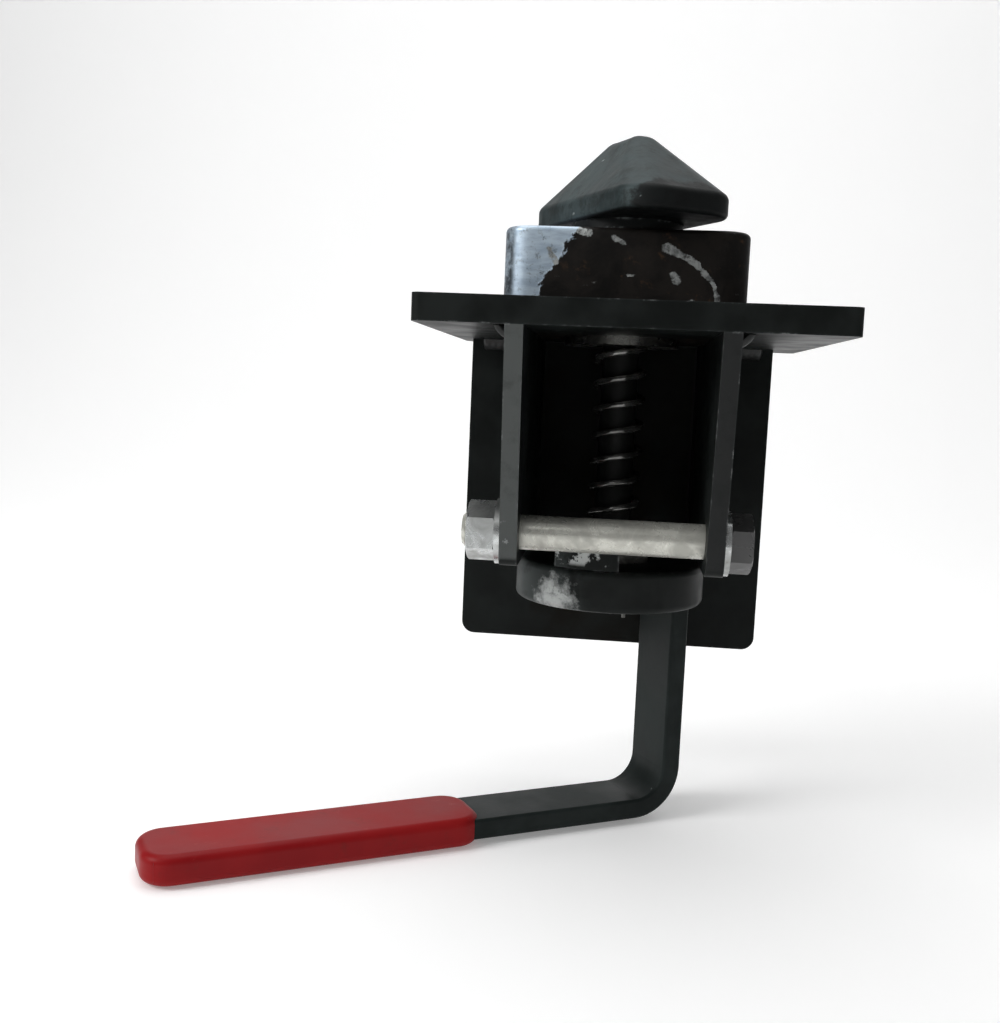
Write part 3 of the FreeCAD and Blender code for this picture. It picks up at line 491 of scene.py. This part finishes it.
def lay_bead(build, low, high, corner, chance, pitch=3.4, step=0.55, across=11):
    """A fillet weld with crescent ripples in the box from low to high; corner says where its root is."""
    size = [high[i] - low[i] for i in range(3)]
    run = size.index(max(size))
    a, b = [i for i in range(3) if i != run]
    leg_a, leg_b = size[a], size[b]
    count = max(8, int(size[run] / (step * MM)))
    rows = []
    phase = chance.uniform(0, 1)
    for k in range(count + 1):
        s = k / count
        place = size[run] * s
        row = []
        swell = 1 + 0.05 * math.sin(place / (9.5 * MM) + phase * 6) + 0.03 * math.sin(place / (4.1 * MM) + phase * 9)
        taper = min(1.0, min(s, 1 - s) * count * step / 2.2 + 0.55)
        for j in range(across + 1):
            t = j / across
            lag = 0.9 * (1 - (2 * t - 1) ** 2)
            wave = (place / (pitch * MM) + phase + lag) % 1.0
            ripple = 0.30 * MM * (wave if wave < 0.8 else (1 - wave) * 4) * math.sin(math.pi * t)
            bulge = 0.10 * min(leg_a, leg_b) * math.sin(math.pi * t) + ripple
            pa = leg_a * (1 - t) * swell * taper + bulge * 0.7
            pb = leg_b * t * swell * taper + bulge * 0.7
            point = [0.0, 0.0, 0.0]
            point[run] = low[run] + place
            point[a] = low[a] + pa if corner[a] < 0 else high[a] - pa
            point[b] = low[b] + pb if corner[b] < 0 else high[b] - pb
            row.append(build.verts.new(point))
        root = [0.0, 0.0, 0.0]
        root[run] = low[run] + place
        root[a] = low[a] if corner[a] < 0 else high[a]
        root[b] = low[b] if corner[b] < 0 else high[b]
        row.append(build.verts.new(root))
        rows.append(row)
    for first, second in zip(rows, rows[1:]):
        around = len(first)
        for j in range(around):
            build.faces.new((first[j], first[(j + 1) % around], second[(j + 1) % around], second[j]))
    build.faces.new(rows[0][::-1])
    build.faces.new(rows[-1])


def welds(name, material, turn=0.0):
    """Rippled beads in place of a CAD weld group that stands at this turn about Z."""
    chance = random.Random(name)

    def builder(build):
        for points in islands(name, -turn):
            low = [min(p[i] for p in points) for i in range(3)]
            high = [max(p[i] for p in points) for i in range(3)]
            mean = [sum(p[i] for p in points) / len(points) for i in range(3)]
            corner = [-1 if mean[i] < (low[i] + high[i]) / 2 else 1 for i in range(3)]
            lay_bead(build, low, high, corner, chance)
        build.transform(Matrix.Rotation(turn, 4, "Z"))

    piece = new_piece(name + "_beads", builder, material, body_of[name])
    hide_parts(name)


def thread(name, node, axis, centre, radius, span, pitch, material):
    """A helical ridge on a CAD bolt's shank: axis is 0 for X or 2 for Z, sizes in mm."""
    low, high = span
    turns = (high - low) / pitch
    steps = int(turns * 48)
    profile = [(-0.46, -0.35), (-0.08, 0.0), (0.08, 0.0), (0.46, -0.35)]

    def builder(build):
        rows = []
        for k in range(steps + 1):
            share = k / steps
            fade = min(1.0, min(share, 1 - share) * turns * 6)
            angle = 2 * math.pi * turns * share
            row = []
            for along, out in profile:
                reach = radius + 0.12 * fade + out * pitch * 0.6 - 0.25 * (1 - fade)
                place = low + (high - low) * share + along * pitch * 0.95
                a, b = reach * math.cos(angle), reach * math.sin(angle)
                point = (place, centre[0] + a, centre[1] + b) if axis == 0 else (centre[0] + a, centre[1] + b, place)
                row.append(build.verts.new([x * MM for x in point]))
            rows.append(row)
        for first, second in zip(rows, rows[1:]):
            for j in range(4):
                build.faces.new((first[j], first[(j + 1) % 4], second[(j + 1) % 4], second[j]))
        build.faces.new(rows[0][::-1])
        build.faces.new(rows[-1])

    return new_piece(name, builder, material, body_of[node], smooth=False)


def coil(name, node, turns, wire, material, around=20, per_turn=64):
    """The spring's wire as a round helix, in place of the CAD spring."""
    low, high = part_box(node)
    radius = (high.x - low.x - wire * MM) / 2
    bottom, top = low.z + wire * MM / 2, high.z - wire * MM / 2
    rise = (top - bottom) / (turns * 2 * math.pi)

    def builder(build):
        rows = []
        for k in range(turns * per_turn + 1):
            angle = 2 * math.pi * k / per_turn
            out = Vector((math.cos(angle), math.sin(angle), 0))
            ahead = Vector((-out.y * radius, out.x * radius, rise)).normalized()
            side = out.cross(ahead)
            centre = out * radius + Vector((0, 0, bottom + rise * angle))
            row = []
            for j in range(around):
                turn = 2 * math.pi * j / around
                row.append(build.verts.new(centre + (out * math.cos(turn) + side * math.sin(turn)) * wire * MM / 2))
            rows.append(row)
        for first, second in zip(rows, rows[1:]):
            for j in range(around):
                build.faces.new((first[j], first[(j + 1) % around], second[(j + 1) % around], second[j]))
        build.faces.new(rows[0][::-1])
        build.faces.new(rows[-1])

    piece = new_piece(name, builder, material, body_of[node])
    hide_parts(node)
    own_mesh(piece)


# ---------------------------------------------------------------- stage
def make_stage():
    """A pale floor curving up into the backdrop, a pale dome that only the camera sees, and soft light."""
    low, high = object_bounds()
    level = low.z - 0.001
    profile = [(-1.6, level), (0.9, level)]
    radius = 0.9
    for k in range(1, 13):
        angle = math.radians(90 * k / 12)
        profile.append((0.9 + radius * math.sin(angle), level + radius * (1 - math.cos(angle))))
    profile.append((1.8, level + 3.2))
    build = bmesh.new()
    rows = [[build.verts.new((x, y, z)) for y, z in profile] for x in (-1.7, 1.7)]
    for k in range(len(profile) - 1):
        build.faces.new((rows[0][k], rows[1][k], rows[1][k + 1], rows[0][k + 1]))
    mesh = bpy.data.meshes.new("backdrop")
    build.to_mesh(mesh)
    build.free()
    for face in mesh.polygons:
        face.use_smooth = True
    s = Shader("backdrop")
    s.bsdf.inputs["Emission Color"].default_value = (1, 1, 1, 1)
    mesh.materials.append(s.finish((0.90, 0.90, 0.90), 0.9, Emission_Strength=0.22))
    backdrop = bpy.data.objects.new("backdrop", mesh)
    bpy.context.scene.collection.objects.link(backdrop)

    build = bmesh.new()
    bmesh.ops.create_icosphere(build, subdivisions=4, radius=9)
    mesh = bpy.data.meshes.new("horizon")
    build.to_mesh(mesh)
    build.free()
    s = Shader("horizon")
    s.bsdf.inputs["Emission Color"].default_value = (1, 1, 1, 1)
    mesh.materials.append(s.finish((0, 0, 0), 1.0, Emission_Strength=0.94, Specular_IOR_Level=0))
    horizon = bpy.data.objects.new("horizon", mesh)
    bpy.context.scene.collection.objects.link(horizon)
    horizon.visible_diffuse = False
    horizon.visible_glossy = False
    horizon.visible_transmission = False
    horizon.visible_shadow = False

    world = bpy.data.worlds.new("studio")
    bpy.context.scene.world = world
    world.use_nodes = True
    world.node_tree.nodes["Background"].inputs["Color"].default_value = (1, 1, 1, 1)
    world.node_tree.nodes["Background"].inputs["Strength"].default_value = 0.18
    middle = (low + high) / 2
    for name, spot, size, power in (
        ("key", (-1.25, -0.75, 0.75), 0.7, 15),
        ("front", (-0.35, -1.2, 0.9), 0.2, 0.9),
        ("top", (-0.2, 0.0, 1.5), 1.2, 5.5),
        ("wall", (0.0, 0.7, 1.9), 2.4, 20),
    ):
        light = bpy.data.lights.new(name, "AREA")
        light.size = size
        light.energy = power
        lamp = bpy.data.objects.new(name, light)
        lamp.location = spot
        aim = Vector((0, 1.6, 0.1)) if name == "wall" else middle
        lamp.rotation_euler = (aim - lamp.location).to_track_quat("-Z", "Y").to_euler()
        bpy.context.scene.collection.objects.link(lamp)


# ---------------------------------------------------------------- making
make_camera()
black = painted("black_paint")
# the pocket colours given here are painted shade with a brown tone; the front-edge colours are painted highlights,
# brighter on the left cheek
housing_black = painted("housing_paint", (0.0055, 0.0068, 0.0064), (0.0105, 0.0128, 0.0122), inside_shade_and_brown=(0.0045, 0.0038, 0.0025))
left_black = painted("left_cheek_paint", inside_shade_and_brown=(0.0045, 0.0038, 0.0025), front_edge_sheen=(0.080, 0.086, 0.084))
right_black = painted("right_cheek_paint", inside_shade_and_brown=(0.0045, 0.0038, 0.0025), front_edge_sheen=(0.020, 0.021, 0.021))
bar_black = painted("handle_paint", (0.0095, 0.0130, 0.0125), (0.019, 0.0245, 0.0235), 0.5, 1.2, dust=0.08)
# the hub's lit side, lug glints and rim highlight are painted light
hub_black = painted("hub_paint", (0.0075, 0.0088, 0.0084), (0.014, 0.016, 0.0155), 0.7, 2.0, hub_painted_light=True)
beads = weld_metal("weld_paint")
dress(black, "flange_plate", "rear_gussets")
dress(housing_black, "back_plate")
dress(left_black, "left_cheek")
dress(right_black, "right_cheek")
dress(bar_black, "handle_bar")
dress(hub_black, "turning_hub")
dress(block_steel(), "shear_block")
dress(forged(), "lock_spindle")
bolt_low, bolt_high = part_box("cross_bolt")
nut_low, nut_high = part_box("cross_bolt_nut")
cheek_low, cheek_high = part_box("right_cheek")
# the bolt's head past the right cheek gets painted shade
bolt_zinc = zinc("bolt_zinc", shade_beyond=cheek_high.x / MM, metal=0.55)
dress(bolt_zinc, "cross_bolt")
dress(zinc("nut_zinc", (0.64, 0.66, 0.66), (0.38, 0.39, 0.38)), "cross_bolt_nut", "cross_bolt_washers")
dress(zinc("hub_zinc", (0.16, 0.16, 0.15), (0.07, 0.07, 0.065), metal=0.5), "hub_washer", "castle_nut", "split_pin")
dress(zinc("seat_zinc", (0.30, 0.30, 0.28), (0.12, 0.12, 0.11)), "upper_spring_seat", "lower_spring_seat")
coil("return_spring_coil", "return_spring", 8, 3.5, spring_wire())
thread("cross_bolt_thread", "cross_bolt", 0, ((bolt_low.y + bolt_high.y) / 2 / MM, (bolt_low.z + bolt_high.z) / 2 / MM),
       8.0, (bolt_low.x / MM + 1.2, nut_low.x / MM + 3), 2.0, bolt_zinc)
dress(pvc(), "handle_grip")
for group in ("cheek_flange_welds", "cheek_plate_welds", "plate_flange_welds"):
    welds(group, beads)
welds("handle_weld", beads, HEAD_TURN)

make_stage()
